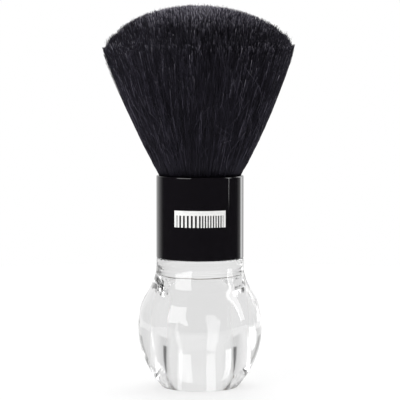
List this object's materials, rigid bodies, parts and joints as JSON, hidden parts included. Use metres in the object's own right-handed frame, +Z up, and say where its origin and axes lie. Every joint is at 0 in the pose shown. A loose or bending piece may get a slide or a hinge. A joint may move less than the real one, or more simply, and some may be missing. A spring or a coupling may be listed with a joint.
{
  "type": "neck duster brush",
  "caption": "Standing neck duster brush: a clear hollow ball grip with a flat foot, a gloss black ferrule printed with a comb, and a dense flared knot of dark hair with a domed top.",
  "frame": {"origin": "centre of the flat foot that the brush stands on", "axes": "+Z up along the brush's axis, from the grip to the hair; -Y is the front, where the comb is printed"},
  "size_m": [0.0766, 0.0766, 0.153],
  "materials": {
    "clear_acrylic": "gloss",
    "black_gloss": "gloss",
    "adhesive": "gloss",
    "epoxy": "gloss",
    "hair": "satin",
    "thread": "matte",
    "white_ink": "matte"
  },
  "bodies": {
    "root": {"ball_grip": "clear_acrylic", "ferrule": "black_gloss", "spigot_adhesive": "adhesive", "root_epoxy": "epoxy", "hair_knot": "hair", "root_binding": "thread", "printed_mark": "white_ink"}
  },
  "joints": []
}
